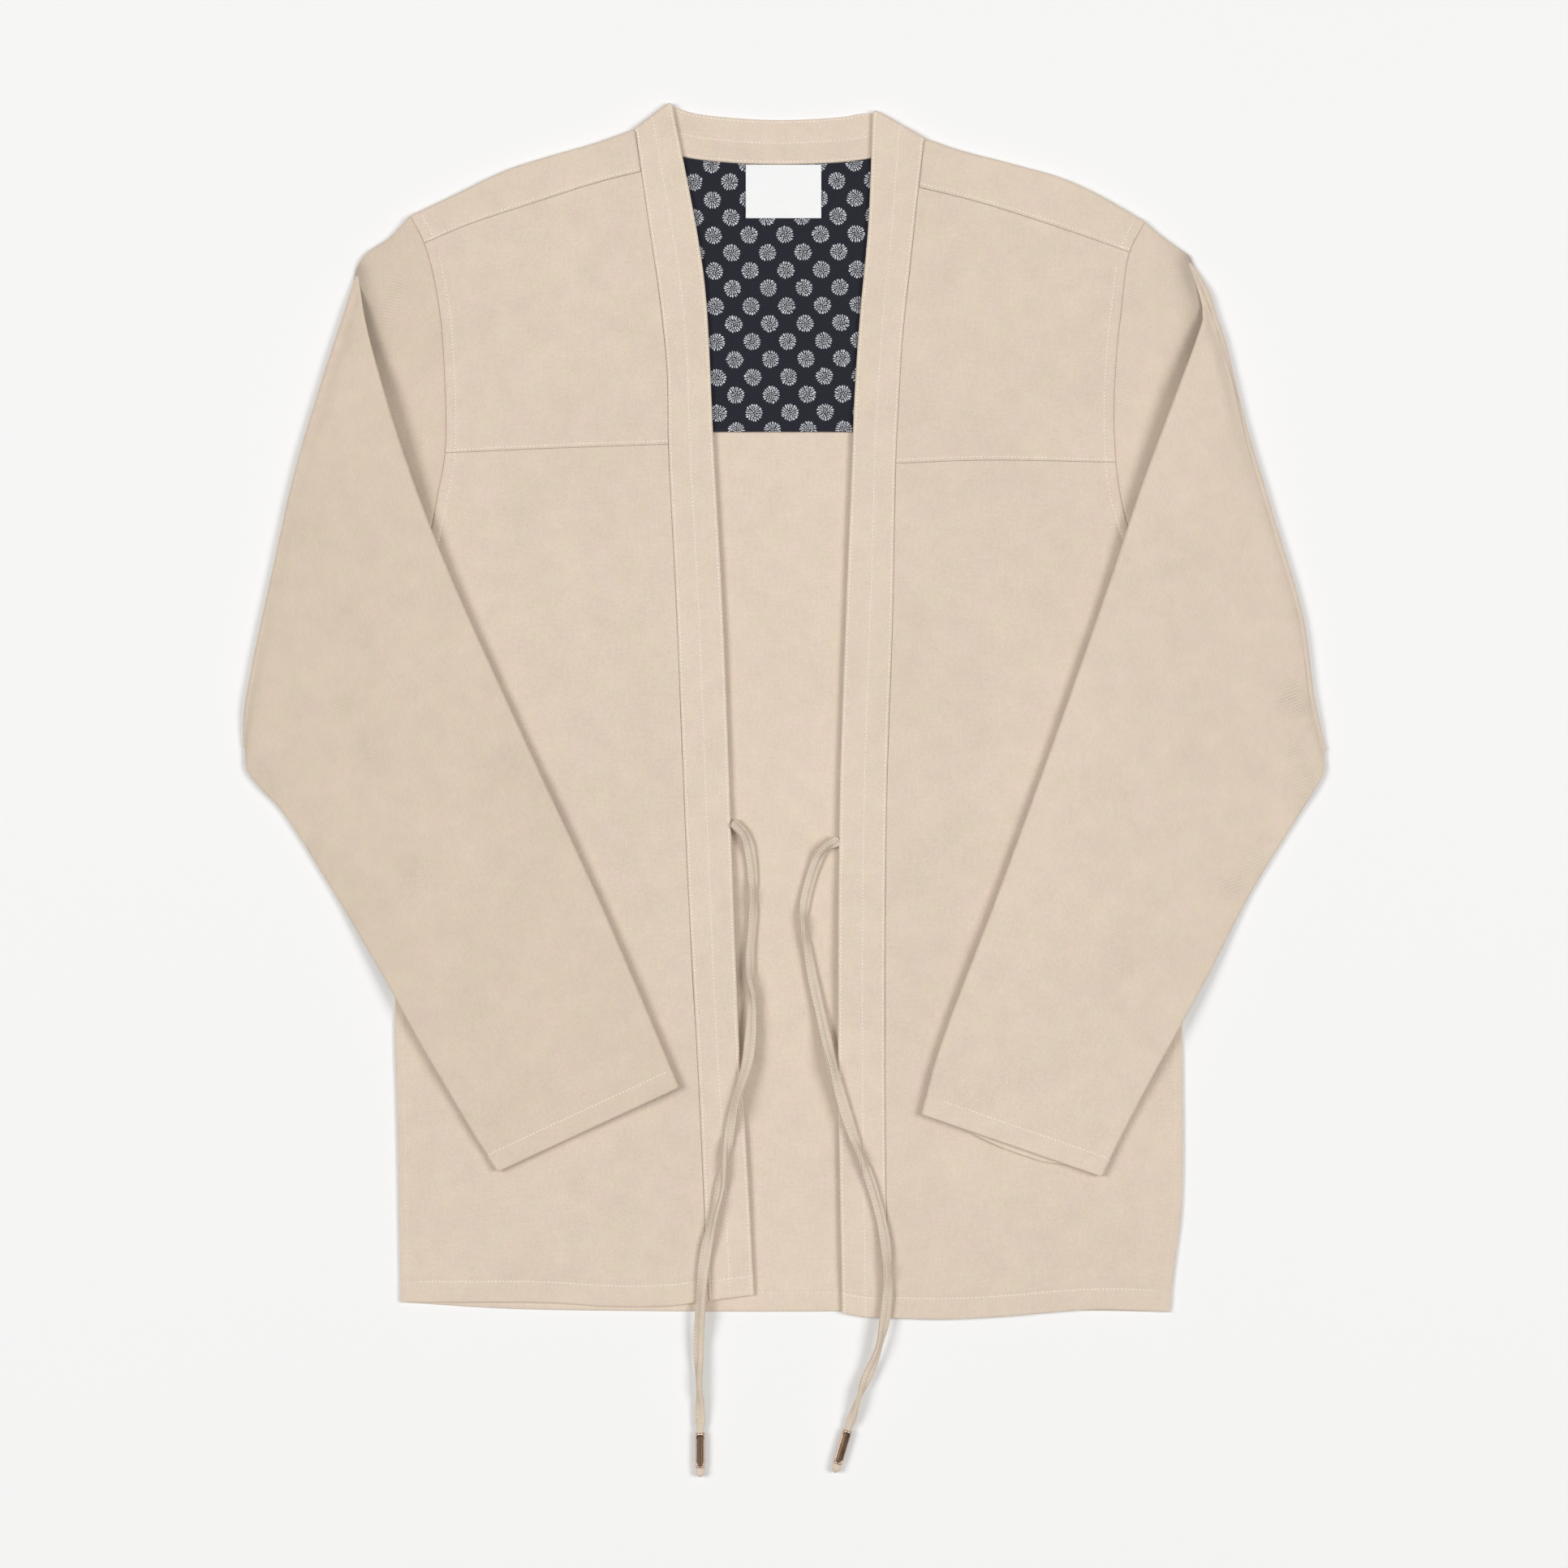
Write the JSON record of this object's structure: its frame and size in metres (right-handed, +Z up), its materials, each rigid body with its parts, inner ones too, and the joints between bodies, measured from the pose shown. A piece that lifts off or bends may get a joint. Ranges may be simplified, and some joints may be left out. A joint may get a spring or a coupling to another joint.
{
  "type": "noragi jacket",
  "caption": "Open-front cotton jacket with a wide collar band, sleeves folded forward over the fronts, a printed dark yoke lining and metal-tipped tie straps, laid flat on its back.",
  "frame": {"origin": "on the surface the jacket lies on, under the middle of its plan outline without the tie straps", "axes": "+X to the wearer's left, +Y from hem to collar, +Z up out of the surface"},
  "size_m": [0.6944, 0.8796, 0.0131],
  "materials": {
    "cloth": "matt oatmeal cotton twill, garment washed",
    "lining": "matt navy cotton with a small off-white chrysanthemum print",
    "label": "bare white woven label",
    "aglet": "antique brass, worn brighter at the rims"
  },
  "bodies": {
    "root": {"back": "cloth", "back_yoke": "cloth", "collar_neck": "cloth", "collar_right": "cloth", "collar_left": "cloth", "front_chest_right": "cloth", "front_chest_left": "cloth", "front_right": "cloth", "front_left": "cloth", "sleeve_right": "cloth", "sleeve_left": "cloth", "tie_right": "cloth", "tie_left": "cloth", "yoke_lining": "lining", "label": "label", "aglet_right": "aglet", "aglet_left": "aglet"}
  },
  "joints": []
}
